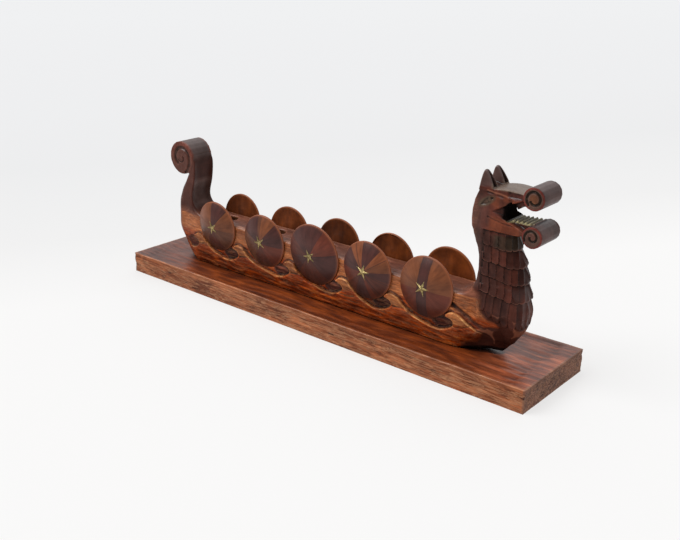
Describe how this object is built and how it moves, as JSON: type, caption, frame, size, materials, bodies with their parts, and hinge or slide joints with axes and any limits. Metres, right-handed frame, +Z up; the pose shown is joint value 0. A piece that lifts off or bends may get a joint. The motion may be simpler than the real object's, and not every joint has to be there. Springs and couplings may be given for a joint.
{
  "type": "longship incense burner",
  "caption": "Carved wooden longship incense burner on a plinth, with a dragon figurehead, scrolled stern post, round shields with brass star studs and a row of wells in the deck.",
  "frame": {"origin": "middle of the plinth's underside", "axes": "+X along the ship to the bow, +Z up, so starboard is -Y"},
  "size_m": [0.46, 0.095, 0.1695],
  "materials": {
    "plinth_wood": "red-brown stain under satin varnish, gouged top",
    "hull_wood": "orange-brown stain under semi-gloss varnish, carved waves",
    "figurehead_wood": "dark red-brown stain under semi-gloss varnish, carved scales",
    "stern_wood": "dark red-brown stain under semi-gloss varnish, carved spiral",
    "shield_wood": "turned wood, stained in dark and light wedges, satin varnish",
    "brass": "aged brass",
    "dowel_wood": "plain beech",
    "screw_steel": "plain steel"
  },
  "bodies": {
    "root": {"plinth": "plinth_wood", "hull": "hull_wood", "figurehead": "figurehead_wood", "stern_post": "stern_wood", "bow_dowel_lower": "dowel_wood", "bow_dowel_upper": "dowel_wood", "stern_dowel_lower": "dowel_wood", "stern_dowel_upper": "dowel_wood", "base_screw_stern": "screw_steel", "base_screw_bow": "screw_steel", "shield_starboard_1": "shield_wood", "shield_starboard_2": "shield_wood", "shield_starboard_3": "shield_wood", "shield_starboard_4": "shield_wood", "shield_starboard_5": "shield_wood", "shield_port_1": "shield_wood", "shield_port_2": "shield_wood", "shield_port_3": "shield_wood", "shield_port_4": "shield_wood", "shield_port_5": "shield_wood", "stud_starboard_1": "brass", "stud_starboard_2": "brass", "stud_starboard_3": "brass", "stud_starboard_4": "brass", "stud_starboard_5": "brass", "stud_port_1": "brass", "stud_port_2": "brass", "stud_port_3": "brass", "stud_port_4": "brass", "stud_port_5": "brass"}
  },
  "joints": []
}
